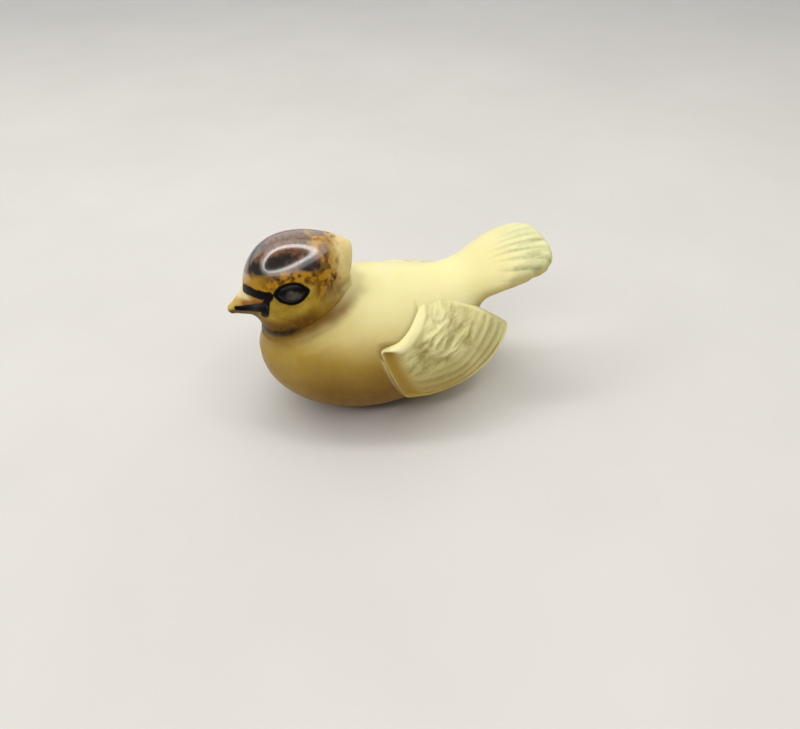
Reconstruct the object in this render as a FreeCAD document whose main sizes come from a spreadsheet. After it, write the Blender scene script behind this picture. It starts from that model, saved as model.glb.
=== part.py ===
import FreeCAD, Part
import os
import Sketcher
from FreeCAD import Placement, Rotation, Vector

# Bird hood ornament, in millimetres.
# +Z is up, the bird faces -Y, its left flank is on +X and its tail points to +Y.
# The origin is the centre of the flat seat under the belly, with z = 0 on the seat.

doc = FreeCAD.newDocument("bird_ornament")
sheet = doc.addObject("Spreadsheet::Sheet", "Dimensions")

DIMENSIONS = {
    # Egg-shaped trunk: breast, belly and back.
    "egg_radius_x": 12.6,
    "egg_radius_y": 16.3,
    "egg_radius_z": 10.3,
    "egg_centre_y": 0.0,
    "egg_centre_z": 9.8,
    # Skull, crown and nape crest, each one ellipsoid; the crest is cut off steeply behind.
    "skull_radius_x": 6.7,
    "skull_radius_y": 7.4,
    "skull_radius_z": 7.6,
    "skull_centre_y": -9.6,
    "skull_centre_z": 20.8,
    "crown_radius_x": 4.7,
    "crown_radius_y": 5.4,
    "crown_radius_z": 3.8,
    "crown_centre_y": -6.6,
    "crown_centre_z": 24.2,
    "crest_radius_x": 3.3,
    "crest_radius_y": 6.2,
    "crest_radius_z": 4.4,
    "crest_centre_y": -5.5,
    "crest_centre_z": 23.0,
    "crest_foot_y": -2.73,
    "crest_foot_z": 19.0,
    "crest_lean": 16.3,
    # Bill: a cone that slopes down from the face to a small ball.
    "bill_root_radius": 2.9,
    "bill_tip_radius": 0.8,
    "bill_length": 3.953,
    "bill_slope": 18.43,
    "bill_root_y": -15.2,
    "bill_root_z": 19.3,
    "bill_tip_y": -18.95,
    "bill_tip_z": 18.05,
    "mouth_gap": 0.3,
    "mouth_back_y": -15.4,
    "mouth_height": 18.4,
    # Eyes: beads let into sockets on the cheeks.
    "eye_half_length": 1.9,
    "eye_half_height": 1.15,
    "eye_half_depth": 1.05,
    "eye_centre_x": 5.8,
    "eye_centre_y": -10.6,
    "eye_centre_z": 22.8,
    "eye_tilt": 14.5,
    # Neck dowel on the normal of the egg under the head.
    "dowel_radius": 2.0,
    "dowel_length": 12.0,
    "dowel_chamfer": 0.4,
    "dowel_tilt": 22.7,
    "dowel_centre_y": -8.8,
    "dowel_centre_z": 17.9,
    "dowel_end_gap": 0.3,
    # Wing plates, between an outer and an inner ellipsoid.
    "wing_outer_x": 13.7,
    "wing_outer_y": 21.2,
    "wing_outer_z": 10.1,
    "wing_outer_centre_y": 3.5,
    "wing_outer_centre_z": 9.2,
    "wing_inner_x": 12.0,
    "wing_inner_y": 20.4,
    "wing_inner_z": 9.5,
    "wing_inner_centre_y": 3.4,
    "wing_inner_centre_z": 9.2,
    # Side outline of a wing: bend of the wing, shoulder, tip and lower corner.
    "bend_y": 0.4,
    "bend_z": 14.2,
    "shoulder_y": 7.5,
    "shoulder_z": 18.1,
    "tip_y": 20.9,
    "tip_z": 11.9,
    "heel_y": 3.4,
    "heel_z": 6.4,
    "leading_edge_radius": 10.6,
    "upper_edge_radius": 20.2,
    "lower_edge_radius": 17.5,
    "front_edge_radius": 44.0,
    # Carved panel and primaries on the wing.
    "panel_margin": 1.0,
    "panel_depth": 0.4,
    "primary_spacing": 1.25,
    "primary_groove": 0.4,
    "primary_depth": 0.35,
    # Wing pins.
    "pin_radius": 0.6,
    "pin_length": 3.1,
    "pin_upper_x": 8.2,
    "pin_upper_y": 5.5,
    "pin_upper_z": 13.6,
    "pin_lower_x": 9.3,
    "pin_lower_y": 5.8,
    "pin_lower_z": 9.2,
    # Grooves that part the tail feathers.
    "tail_groove_half_length": 4.6,
    "tail_groove_half_width": 0.34,
    "tail_groove_half_depth": 0.42,
    "tail_groove_pitch": 2.35,
    "tail_groove_centre_y": 24.0,
    "tail_groove_centre_z": 22.15,
    "tail_groove_fall": 0.075,
    "tail_groove_slope": 8.5,
    "tail_groove_spread": 5.5,
    # M4 brass insert in the belly.
    "insert_radius": 2.8,
    "insert_neck_radius": 2.45,
    "insert_hole_radius": 1.65,
    "insert_length": 7.0,
    "insert_band": 2.6,
    "insert_lead": 0.4,
    "knurl_depth": 0.22,
    "knurl_half_width": 0.2,
    "knurl_count": 18,
    "insert_bore_depth": 8.4,
}

# Cross sections of the rump and tail: station along Y, half width, half height, centre height.
TAIL_SECTIONS = {
    "loin": (4.0, 7.0, 5.2, 12.8),
    "rump": (10.0, 7.6, 7.2, 11.4),
    "saddle": (14.0, 6.9, 6.8, 12.2),
    "waist": (18.0, 6.2, 4.6, 15.9),
    "spread": (21.0, 7.5, 2.6, 18.7),
    "fan": (24.0, 8.1, 1.9, 20.0),
    "rim": (26.6, 7.3, 1.6, 20.6),
    "tail_end": (28.6, 4.8, 1.1, 20.9),
}


def fill_sheet():
    """Write every driving dimension to the sheet, one alias per row."""
    rows = dict(DIMENSIONS)
    for name, (station, half_width, half_height, centre) in TAIL_SECTIONS.items():
        rows[name + "_station"] = station
        rows[name + "_half_width"] = half_width
        rows[name + "_half_height"] = half_height
        rows[name + "_centre_height"] = centre
    for row, (alias, value) in enumerate(rows.items(), start=1):
        sheet.set("A%d" % row, alias)
        sheet.set("B%d" % row, str(value))
        sheet.setAlias("B%d" % row, alias)
    doc.recompute()


def dim(text):
    """Prefix each alias in an expression with the sheet's name."""
    words = text.split(" ")
    return " ".join("Dimensions." + w if w[0].isalpha() else w for w in words)


def bind(obj, **expressions):
    """Drive properties of obj from the sheet; __ stands for the dot in a property path."""
    for path, text in expressions.items():
        obj.setExpression(path.replace("__", "."), dim(text))
    return obj


def ellipsoid(name, x, y, z, centre_y="", centre_z="", centre_x=""):
    """An ellipsoid with driven radii along X, Y and Z and a driven centre."""
    solid = doc.addObject("Part::Ellipsoid", name)
    bind(solid, Radius1=z, Radius2=x, Radius3=y)
    solid.Angle1, solid.Angle2, solid.Angle3 = -90, 90, 360
    for axis, text in (("x", centre_x), ("y", centre_y), ("z", centre_z)):
        if text:
            solid.setExpression("Placement.Base." + axis, dim(text))
    return solid


def union(name, solids):
    """One solid from several."""
    fused = doc.addObject("Part::MultiFuse", name)
    fused.Shapes = solids
    fused.Refine = False
    return fused


def common(name, solids):
    """The space that several solids share."""
    shared = doc.addObject("Part::MultiCommon", name)
    shared.Shapes = solids
    return shared


def cut(name, base, tool):
    """Base less tool."""
    left = doc.addObject("Part::Cut", name)
    left.Base = base
    left.Tool = tool
    return left


def mirrored(name, source):
    """The source mirrored in the YZ plane, for the bird's right side."""
    other = doc.addObject("Part::Mirroring", name)
    other.Source = source
    other.Base = Vector(0, 0, 0)
    other.Normal = Vector(1, 0, 0)
    return other


def plane_of(body, role):
    """One of the body's own origin planes."""
    return next(o for o in body.Origin.OriginFeatures if o.Role == role)


def sketch_on(body, role, name):
    """A sketch attached to one of the body's origin planes."""
    sketch = body.newObject("Sketcher::SketchObject", name)
    sketch.AttachmentSupport = (plane_of(body, role), [""])
    sketch.MapMode = "FlatFace"
    return sketch


def new_body(name):
    """A part design body whose label is its name."""
    body = doc.addObject("PartDesign::Body", name)
    body.Label = name
    return body


def drive_constraint(sketch, constraint, text):
    """Add a dimensional constraint and bind it to the sheet."""
    index = sketch.addConstraint(constraint)
    sketch.setExpression("Constraints[%d]" % index, dim(text))


# ---------------------------------------------------------------- trunk and tail

def egg(name, shrink="0"):
    """The trunk's egg, which also shapes the seat under the head."""
    return ellipsoid(name, "egg_radius_x - " + shrink, "egg_radius_y - " + shrink,
                     "egg_radius_z - " + shrink, "egg_centre_y", "egg_centre_z")


def tail_section(name):
    """One upright ellipse across the rump or tail."""
    ring = doc.addObject("Part::Ellipse", "section_" + name)
    ring.Placement = Placement(Vector(0, 0, 0), Rotation(Vector(1, 0, 0), 90))
    bind(ring, MajorRadius=name + "_half_width", MinorRadius=name + "_half_height",
         Placement__Base__y=name + "_station", Placement__Base__z=name + "_centre_height")
    return ring


def tail_grooves():
    """Five shallow grooves that fan out along the top of the tail."""
    grooves = []
    for step in (-2, -1, 0, 1, 2):
        groove = ellipsoid("tail_groove_%d" % (step + 3), "tail_groove_half_width",
                           "tail_groove_half_length", "tail_groove_half_depth",
                           centre_x="tail_groove_pitch * (%d)" % step,
                           centre_y="tail_groove_centre_y",
                           centre_z="tail_groove_centre_z - tail_groove_fall * %d" % (step * step))
        turn = Rotation(Vector(0, 0, 1), -DIMENSIONS["tail_groove_spread"] * step)
        rise = Rotation(Vector(1, 0, 0), DIMENSIONS["tail_groove_slope"])
        groove.Placement.Rotation = turn.multiply(rise)
        grooves.append(groove)
    return union("tail_grooves", grooves)


def trunk():
    """Egg, rump and raised tail, with a flat seat at z = 0."""
    tail = doc.addObject("Part::Loft", "tail_loft")
    tail.Sections = [tail_section(name) for name in TAIL_SECTIONS]
    tail.Solid = True
    tail.Ruled = False
    whole = union("trunk_whole", [egg("trunk_egg"), tail])
    grooved = cut("trunk_grooved", whole, tail_grooves())
    floor = doc.addObject("Part::Box", "seat_cutter")
    floor.Length, floor.Width, floor.Height = 40, 60, 5
    floor.Placement.Base = Vector(-20, -30, -5)
    return cut("trunk_seated", grooved, floor)


# ---------------------------------------------------------------- head

def mouth():
    """The slit between the two halves of the bill."""
    slit = doc.addObject("Part::Box", "mouth_cutter")
    slit.Length, slit.Width = 10, 10
    slit.Placement.Base.x = -5
    bind(slit, Height="mouth_gap", Placement__Base__y="mouth_back_y - 10",
         Placement__Base__z="mouth_height")
    return slit


def crest_cutter():
    """A block whose front face leans back over the nape and ends the crest."""
    block = doc.addObject("Part::Box", "crest_cutter")
    block.Length, block.Width, block.Height = 20, 10, 14
    block.Placement = Placement(Vector(-10, 0, 0),
                                Rotation(Vector(1, 0, 0), -DIMENSIONS["crest_lean"]))
    return bind(block, Placement__Base__y="crest_foot_y", Placement__Base__z="crest_foot_z")


def bill():
    """A cone that leans down from the face, with a ball for its tip."""
    cone = doc.addObject("Part::Cone", "bill_cone")
    cone.Placement = Placement(Vector(0, 0, 0), Rotation(Vector(1, 0, 0), 90))
    bind(cone, Radius1="bill_root_radius", Radius2="bill_tip_radius", Height="bill_length",
         Placement__Base__y="bill_root_y", Placement__Base__z="bill_root_z",
         Placement__Rotation__Angle="90 + bill_slope")
    ball = doc.addObject("Part::Sphere", "bill_ball")
    bind(ball, Radius="bill_tip_radius", Placement__Base__y="bill_tip_y",
         Placement__Base__z="bill_tip_z")
    return [cone, ball]


def head_blank():
    """Skull, crown, crest and bill, hollowed below to sit on the egg."""
    skull, crown, crest = [
        ellipsoid(name, name + "_radius_x", name + "_radius_y", name + "_radius_z",
                  name + "_centre_y", name + "_centre_z")
        for name in ("skull", "crown", "crest")]
    whole = union("head_whole", [skull, crown, cut("crest_cut", crest, crest_cutter())] + bill())
    seated = cut("head_seated", whole, egg("head_seat"))
    return cut("head_mouthed", seated, mouth())


def eye_bead(name):
    """The left eye: an almond bead tilted to lie on the cheek."""
    bead = ellipsoid(name, "eye_half_depth", "eye_half_length", "eye_half_height",
                     "eye_centre_y", "eye_centre_z", "eye_centre_x")
    bead.Placement.Rotation = Rotation(Vector(0, 1, 0), -DIMENSIONS["eye_tilt"])
    return bead


def neck_axis(solid):
    """Place a solid of revolution on the neck's axis, driven from the sheet."""
    solid.Placement = Placement(Vector(0, 0, 0), Rotation(Vector(1, 0, 0), 1))
    bind(solid, Placement__Rotation__Angle="dowel_tilt", Placement__Base__y="dowel_centre_y",
         Placement__Base__z="dowel_centre_z")
    return solid


def neck_dowel():
    """A round pin, chamfered at both ends."""
    body = new_body("neck_dowel")
    sketch = sketch_on(body, "XY_Plane", "dowel_profile")
    sketch.addGeometry(Part.Circle(Vector(0, 0, 0), Vector(0, 0, 1), DIMENSIONS["dowel_radius"]))
    sketch.addConstraint(Sketcher.Constraint("Coincident", 0, 3, -1, 1))
    drive_constraint(sketch, Sketcher.Constraint("Radius", 0, DIMENSIONS["dowel_radius"]),
                     "dowel_radius")
    pad = body.newObject("PartDesign::Pad", "dowel_pad")
    pad.Profile = sketch
    pad.Midplane = True
    bind(pad, Length="dowel_length")
    doc.recompute()
    chamfer = body.newObject("PartDesign::Chamfer", "dowel_chamfers")
    rims = [i for i, e in enumerate(pad.Shape.Edges, start=1) if isinstance(e.Curve, Part.Circle)]
    chamfer.Base = (pad, ["Edge%d" % i for i in rims])
    bind(chamfer, Size="dowel_chamfer")
    body.Tip = chamfer
    return neck_axis(body)


def neck_bore(name):
    """The bore that takes the dowel, a little longer than the dowel at each end."""
    bore = doc.addObject("Part::Cylinder", name)
    bind(bore, Radius="dowel_radius", Height="dowel_length + 2 * dowel_end_gap")
    tilt = Rotation(Vector(1, 0, 0), DIMENSIONS["dowel_tilt"])
    half = DIMENSIONS["dowel_length"] / 2 + DIMENSIONS["dowel_end_gap"]
    foot = tilt.multVec(Vector(0, 0, -half))
    bore.Placement = Placement(foot, tilt)
    bind(bore, Placement__Rotation__Angle="dowel_tilt",
         Placement__Base__y="dowel_centre_y + %.4f" % foot.y,
         Placement__Base__z="dowel_centre_z + %.4f" % foot.z)
    return bore


# ---------------------------------------------------------------- wings

# Corners of the wing's side outline, and how far the panel's corners lie inside them,
# in panel margins along Y and Z.
CORNER_INSETS = {
    "bend": (1.3, -0.5),
    "shoulder": (0.1, -1.4),
    "tip": (-2.4, -0.2),
    "heel": (1.0, 1.2),
}

# Edges of the outline in order: start corner, end corner, radius, bends inwards.
WING_EDGES = [
    ("bend", "shoulder", "leading_edge_radius", True),
    ("shoulder", "tip", "upper_edge_radius", False),
    ("tip", "heel", "lower_edge_radius", False),
    ("heel", "bend", "front_edge_radius", False),
]


def arc_between(start, end, radius, inwards):
    """The arc from start to end, which bulges to the left unless it bends inwards."""
    chord = end - start
    side = Vector(-chord.y, chord.x, 0).normalize()
    sagitta = radius - (radius * radius - chord.Length ** 2 / 4) ** 0.5
    return Part.Arc(start, (start + end) * 0.5 + side * (-sagitta if inwards else sagitta), end)


def corner_point(corner, margin):
    """A corner of the outline, moved in by margin times its inset."""
    inset_y, inset_z = CORNER_INSETS[corner]
    return Vector(DIMENSIONS[corner + "_y"] + inset_y * margin,
                  DIMENSIONS[corner + "_z"] + inset_z * margin, 0)


def corner_end(sketch, geometry, point):
    """Which end of an arc, 1 or 2, lies on the point."""
    return min((1, 2), key=lambda end: (sketch.getPoint(geometry, end) - point).Length)


def fix_corner(sketch, corner, geometry, end, inset):
    """Hold one end of an arc on its corner, driven from the sheet."""
    point = corner_point(corner, DIMENSIONS["panel_margin"] if inset else 0)
    for axis, value, factor in (("y", point.x, CORNER_INSETS[corner][0]),
                                ("z", point.y, CORNER_INSETS[corner][1])):
        text = corner + "_" + axis
        if inset:
            text += " + (%s) * panel_margin" % factor
        kind = "DistanceX" if axis == "y" else "DistanceY"
        drive_constraint(sketch, Sketcher.Constraint(kind, -1, 1, geometry, end, value), text)


def wing_column(name, inset):
    """The wing's outline, or the inset panel's, raised along +X past the wing."""
    body = new_body(name)
    sketch = sketch_on(body, "YZ_Plane", name + "_outline")
    margin = DIMENSIONS["panel_margin"] if inset else 0
    arcs = []
    for start, end, radius, inwards in WING_EDGES:
        arc = arc_between(corner_point(start, margin), corner_point(end, margin),
                          DIMENSIONS[radius], inwards)
        arcs.append(sketch.addGeometry(arc))
    for index, (start, end, radius, inwards) in enumerate(WING_EDGES):
        after = arcs[(index + 1) % len(arcs)]
        meeting = corner_point(end, margin)
        here = corner_end(sketch, arcs[index], meeting)
        there = corner_end(sketch, after, meeting)
        sketch.addConstraint(Sketcher.Constraint("Coincident", arcs[index], here, after, there))
        fix_corner(sketch, end, arcs[index], here, inset)
        drive_constraint(sketch, Sketcher.Constraint("Radius", arcs[index], DIMENSIONS[radius]),
                         radius)
    pad = body.newObject("PartDesign::Pad", name + "_pad")
    pad.Profile = sketch
    bind(pad, Length="wing_outer_x + 2")
    body.Tip = pad
    doc.recompute()
    return body


def wing_shell(name, depth):
    """The wing's outer ellipsoid, brought in by depth."""
    return ellipsoid(name, "wing_outer_x - " + depth, "wing_outer_y - " + depth,
                     "wing_outer_z - " + depth, "wing_outer_centre_y", "wing_outer_centre_z")


def primary_rings():
    """Grooves between the long flight feathers, concentric with the wing's lower edge."""
    arc = arc_between(corner_point("tip", 0), corner_point("heel", 0),
                      DIMENSIONS["lower_edge_radius"], False)
    centre = arc.toShape().Curve.Center
    rings = []
    for number in (1, 2, 3):
        walls = []
        for side, sign in (("outer", "+"), ("inner", "-")):
            wall = doc.addObject("Part::Cylinder", "primary_%s_%d" % (side, number))
            wall.Placement = Placement(Vector(0, centre.x, centre.y),
                                       Rotation(Vector(0, 1, 0), 90))
            bind(wall, Height="wing_outer_x + 2",
                 Radius="lower_edge_radius - primary_spacing * %d %s primary_groove / 2"
                 % (number, sign))
            walls.append(wall)
        rings.append(cut("primary_ring_%d" % number, *walls))
    return union("primary_rings", rings)


def wing():
    """A curved plate with a carved panel and the grooves of three primaries."""
    outer = wing_shell("wing_outer", "0")
    inner = ellipsoid("wing_inner", "wing_inner_x", "wing_inner_y", "wing_inner_z",
                      "wing_inner_centre_y", "wing_inner_centre_z")
    blank = cut("wing_blank", common("wing_slab", [wing_column("wing_outline", False), outer]),
                inner)
    panel_column = wing_column("panel_outline", True)
    panel = cut("panel_cutter", panel_column, wing_shell("panel_floor", "panel_depth"))
    carved = cut("wing_panelled", blank, panel)
    grooves = common("primary_slots", [panel_column, primary_rings()])
    depth = "panel_depth - primary_depth"
    floor = ellipsoid("primary_floor", "wing_outer_x - " + depth, "wing_outer_y - " + depth,
                      "wing_outer_z - " + depth, "wing_outer_centre_y", "wing_outer_centre_z")
    return cut("wing_carved", carved, cut("primary_cutter", grooves, floor))


def wing_pins(name):
    """Two pins that hold the left wing on the flank."""
    pins = []
    for level in ("upper", "lower"):
        pin = doc.addObject("Part::Cylinder", name + "_" + level)
        pin.Placement = Placement(Vector(0, 0, 0), Rotation(Vector(0, 1, 0), 90))
        bind(pin, Radius="pin_radius", Height="pin_length",
             Placement__Base__x="pin_%s_x" % level,
             Placement__Base__y="pin_%s_y" % level, Placement__Base__z="pin_%s_z" % level)
        pins.append(pin)
    group = doc.addObject("Part::Compound", name)
    group.Links = pins
    return group


# ---------------------------------------------------------------- threaded insert

def insert_profile(sketch):
    """Half section of the insert: two bands, a waist between them and a lead at the top."""
    hole, rim = DIMENSIONS["insert_hole_radius"], DIMENSIONS["insert_radius"]
    neck, lead = DIMENSIONS["insert_neck_radius"], DIMENSIONS["insert_lead"]
    band, length = DIMENSIONS["insert_band"], DIMENSIONS["insert_length"]
    corners = [(hole, 0), (rim, 0), (rim, band), (neck, band), (neck, length - band),
               (rim, length - band), (rim, length - lead), (rim - lead, length), (hole, length)]
    count = len(corners)
    for index, corner in enumerate(corners):
        after = corners[(index + 1) % count]
        sketch.addGeometry(Part.LineSegment(Vector(*corner, 0), Vector(*after, 0)))
    for index in range(count):
        sketch.addConstraint(Sketcher.Constraint("Coincident", index, 2, (index + 1) % count, 1))
    for index in (0, 2, 4):
        sketch.addConstraint(Sketcher.Constraint("Horizontal", index))
    for index in (1, 3, 5, 8):
        sketch.addConstraint(Sketcher.Constraint("Vertical", index))
    sketch.addConstraint(Sketcher.Constraint("Horizontal", 7))
    across = [(0, 1, hole, "insert_hole_radius"), (0, 2, rim, "insert_radius"),
              (3, 1, neck, "insert_neck_radius"), (5, 2, rim, "insert_radius"),
              (6, 2, rim - lead, "insert_radius - insert_lead")]
    along = [(0, 1, 0, "insert_length * 0"), (2, 1, band, "insert_band"),
             (4, 1, length - band, "insert_length - insert_band"),
             (6, 1, length - lead, "insert_length - insert_lead"),
             (7, 1, length, "insert_length")]
    for geometry, end, value, text in across:
        drive_constraint(sketch, Sketcher.Constraint("DistanceX", -1, 1, geometry, end, value),
                         text)
    for geometry, end, value, text in along:
        drive_constraint(sketch, Sketcher.Constraint("DistanceY", -1, 1, geometry, end, value),
                         text)


def knurl_sketch(body):
    """One V of the knurl, seen from above: its point towards the hole, its mouth past the rim."""
    sketch = sketch_on(body, "XY_Plane", "knurl_profile")
    rim, depth = DIMENSIONS["insert_radius"], DIMENSIONS["knurl_depth"]
    half = DIMENSIONS["knurl_half_width"]
    corners = [(rim - depth, 0), (rim + depth, half * 2), (rim + depth, -half * 2)]
    for index in range(3):
        after = corners[(index + 1) % 3]
        sketch.addGeometry(Part.LineSegment(Vector(*corners[index], 0), Vector(*after, 0)))
    for index in range(3):
        sketch.addConstraint(Sketcher.Constraint("Coincident", index, 2, (index + 1) % 3, 1))
    sketch.addConstraint(Sketcher.Constraint("PointOnObject", 0, 1, -1))
    sketch.addConstraint(Sketcher.Constraint("Symmetric", 1, 1, 1, 2, -1))
    drive_constraint(sketch, Sketcher.Constraint("DistanceX", -1, 1, 0, 1, rim - depth),
                     "insert_radius - knurl_depth")
    drive_constraint(sketch, Sketcher.Constraint("DistanceX", -1, 1, 1, 1, rim + depth),
                     "insert_radius + knurl_depth")
    drive_constraint(sketch, Sketcher.Constraint("DistanceY", 1, 2, 1, 1, half * 4),
                     "knurl_half_width * 4")
    return sketch


def threaded_insert():
    """The brass insert that takes a screw from below."""
    body = new_body("threaded_insert")
    section = sketch_on(body, "XZ_Plane", "insert_section")
    insert_profile(section)
    turned = body.newObject("PartDesign::Revolution", "insert_turned")
    turned.Profile = section
    turned.ReferenceAxis = (section, ["V_Axis"])
    turned.Angle = 360
    body.Tip = turned
    doc.recompute()
    notch = body.newObject("PartDesign::Pocket", "knurl_notch")
    notch.Profile = knurl_sketch(body)
    notch.Type = "ThroughAll"
    notch.Reversed = True
    body.Tip = notch
    doc.recompute()
    ring = body.newObject("PartDesign::PolarPattern", "knurl_ring")
    ring.Originals = [notch]
    ring.Axis = (plane_of(body, "Z_Axis"), [""])
    ring.Angle = 360
    body.Tip = ring
    bind(ring, Occurrences="knurl_count")
    doc.recompute()
    return body


def insert_bore():
    """The blind bore in the belly, deeper than the insert for the screw's end."""
    bore = doc.addObject("Part::Cylinder", "insert_bore")
    bore.Placement.Base = Vector(0, 0, -1)
    bind(bore, Radius="insert_radius", Height="insert_bore_depth + 1")
    return bore


# ---------------------------------------------------------------- assembly

def assemble():
    """Cut every seat and bore, and return the sub-parts by name."""
    parts = {}
    parts["neck_dowel"] = neck_dowel()
    parts["threaded_insert"] = threaded_insert()
    parts["eye_left"] = eye_bead("eye_left")
    parts["eye_right"] = mirrored("eye_right", parts["eye_left"])
    parts["wing_pins_left"] = wing_pins("wing_pins_left")
    parts["wing_pins_right"] = mirrored("wing_pins_right", parts["wing_pins_left"])
    carved = wing()
    parts["wing_left"] = cut("wing_left", carved, parts["wing_pins_left"])
    parts["wing_right"] = mirrored("wing_right", parts["wing_left"])
    head_holes = union("head_holes", [neck_bore("head_bore"), parts["eye_left"],
                                      parts["eye_right"]])
    parts["head"] = cut("head", head_blank(), head_holes)
    body_holes = union("body_holes", [neck_bore("body_bore"), insert_bore()]
                       + parts["wing_pins_left"].Links)
    wings = union("wing_seats", [parts["wing_left"], parts["wing_right"]])
    drilled = cut("body_drilled", trunk(), body_holes)
    right_pins = mirrored("right_pin_holes", parts["wing_pins_left"])
    drilled = cut("body_drilled_right", drilled, right_pins)
    parts["body"] = cut("body", drilled, wings)
    doc.recompute()
    return parts


def check_document():
    """Stop on any object that failed to compute."""
    for obj in doc.Objects:
        if "Invalid" in obj.State or "Error" in obj.State:
            raise RuntimeError("%s: %s" % (obj.Name, obj.State))


def write_parts(parts):
    """Write each sub-part to its own STEP file."""
    os.makedirs("parts", exist_ok=True)
    for name, obj in parts.items():
        obj.Label = name
        shape = obj.Shape
        if shape.isNull() or not shape.isValid():
            raise RuntimeError(name + ": the shape is null or not valid")
        solids = shape.Solids
        print("%-16s solids %d  volume %8.1f" % (name, len(solids), shape.Volume))
        shape.exportStep("parts/" + name + ".step")


fill_sheet()
sub_parts = assemble()
check_document()
write_parts(sub_parts)
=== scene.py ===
import bpy
import numpy as np
import openvdb
from mathutils import Matrix, Vector


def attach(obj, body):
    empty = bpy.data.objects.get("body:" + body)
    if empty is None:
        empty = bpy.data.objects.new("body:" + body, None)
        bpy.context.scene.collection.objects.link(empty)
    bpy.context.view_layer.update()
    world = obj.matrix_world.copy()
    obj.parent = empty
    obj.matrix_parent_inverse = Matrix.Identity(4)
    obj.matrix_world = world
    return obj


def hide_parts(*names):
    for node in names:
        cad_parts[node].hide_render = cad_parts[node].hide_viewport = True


# A small lacquered bird ornament, sculpted as distance fields in millimetres and
# turned to meshes in metres. The bird faces -Y, its left flank is on +X, z = 0 is its seat.
# A field is negative inside its piece. Masks from 0 to 1 say where each stain, glaze, painted shade,
# painted highlight or painted reflection lies.

MM = 0.001
TRUNK_CELL = 0.17
CARVED_CELL = 0.12
EYE_CELL = 0.07

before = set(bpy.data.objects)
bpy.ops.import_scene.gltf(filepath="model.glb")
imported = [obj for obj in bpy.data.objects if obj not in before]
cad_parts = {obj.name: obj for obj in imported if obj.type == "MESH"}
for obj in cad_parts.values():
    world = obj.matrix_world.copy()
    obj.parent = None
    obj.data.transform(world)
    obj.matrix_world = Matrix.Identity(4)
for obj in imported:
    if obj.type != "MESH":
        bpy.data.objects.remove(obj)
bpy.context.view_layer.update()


# ---------------------------------------------------------------- field helpers

def smooth01(t):
    """0 below 0, 1 above 1, and smooth between."""
    t = np.clip(t, 0.0, 1.0)
    return t * t * (3.0 - 2.0 * t)


def blend(a, b, t):
    return a + (b - a) * t


def bump_at(value, centre, half_width):
    """A smooth bump of height 1 at centre that ends at half_width to each side."""
    t = np.clip(1.0 - ((value - centre) / half_width) ** 2, 0.0, 1.0)
    return t * t


def soft_union(a, b, radius):
    h = np.clip(0.5 + 0.5 * (b - a) / radius, 0.0, 1.0)
    return b + (a - b) * h - radius * h * (1.0 - h)


def soft_common(a, b, radius):
    return -soft_union(-a, -b, radius)


def ellipsoid(p, centre, radii):
    """Near enough the distance to an ellipsoid, negative inside."""
    radii = np.array(radii)
    q = (p - np.array(centre)) / radii
    k0 = np.linalg.norm(q, axis=-1)
    k1 = np.linalg.norm(q / radii, axis=-1)
    return k0 * (k0 - 1.0) / np.maximum(k1, 1e-9)


def tilted(p, pivot, angle):
    """Points in a frame at pivot whose +Y end is raised by angle."""
    c, s = np.cos(angle), np.sin(angle)
    y, z = p[..., 1] - pivot[1], p[..., 2] - pivot[2]
    return np.stack([p[..., 0] - pivot[0], y * c + z * s, z * c - y * s], -1)


def taper(p, start, end, start_radius, end_radius):
    """A round-ended bar whose radius changes evenly along it."""
    start = np.array(start)
    along = np.array(end) - start
    t = np.clip(((p - start) @ along) / (along @ along), 0.0, 1.0)
    gap = np.linalg.norm(p - start - t[..., None] * along, axis=-1)
    return gap - blend(start_radius, end_radius, t)


def lattice(ix, iy, iz, seed):
    """A repeatable value from 0 to 1 for each whole-numbered point."""
    n = (ix * 374761393 + iy * 668265263 + iz * 974634777 + seed * 144269504) & 0xFFFFFFFF
    n = ((n ^ (n >> 13)) * 1274126177) & 0xFFFFFFFF
    return ((n ^ (n >> 16)) & 0xFFFF) / 65535.0


def noise(p, size, seed=0):
    """Smooth value noise from -1 to 1 with features of about the given size."""
    q = p / size
    base = np.floor(q).astype(np.int64)
    t = q - base
    t = t * t * (3.0 - 2.0 * t)
    total = 0.0
    for dx in (0, 1):
        for dy in (0, 1):
            for dz in (0, 1):
                weight = (np.abs(1 - dx - t[..., 0]) * np.abs(1 - dy - t[..., 1])
                          * np.abs(1 - dz - t[..., 2]))
                total = total + weight * lattice(base[..., 0] + dx, base[..., 1] + dy,
                                                 base[..., 2] + dz, seed)
    return total * 2.0 - 1.0


def mottle(p, size, seed=0, octaves=3):
    """Noise summed over octaves, still about -1 to 1."""
    total, weight, reach = 0.0, 1.0, 0.0
    for step in range(octaves):
        total = total + weight * noise(p, size / 2 ** step, seed + 7 * step)
        reach += weight
        weight *= 0.55
    return total / reach * 1.5


def near_path(p, points):
    """Distance from p, mirrored to the left side, to a path of points."""
    q = p.copy()
    q[..., 0] = np.abs(q[..., 0])
    best = np.full(p.shape[:-1], 1e9)
    for start, end in zip(points[:-1], points[1:]):
        start = np.array(start)
        along = np.array(end) - start
        t = np.clip(((q - start) @ along) / (along @ along), 0.0, 1.0)
        best = np.minimum(best, np.linalg.norm(q - start - t[..., None] * along, axis=-1))
    return best


def arc_side(y, z, start, end, sagitta):
    """Distance to an arc in the side view, positive on its left; it bulges left if positive."""
    start, end = np.array(start), np.array(end)
    chord = end - start
    length = np.linalg.norm(chord)
    left = np.array([-chord[1], chord[0]]) / length
    radius = (length * length / 4 + sagitta * sagitta) / (2 * abs(sagitta))
    centre = (start + end) / 2 - left * np.sign(sagitta) * (radius - abs(sagitta))
    return (np.hypot(y - centre[0], z - centre[1]) - radius) * np.sign(sagitta)


# ---------------------------------------------------------------- trunk and tail

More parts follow.
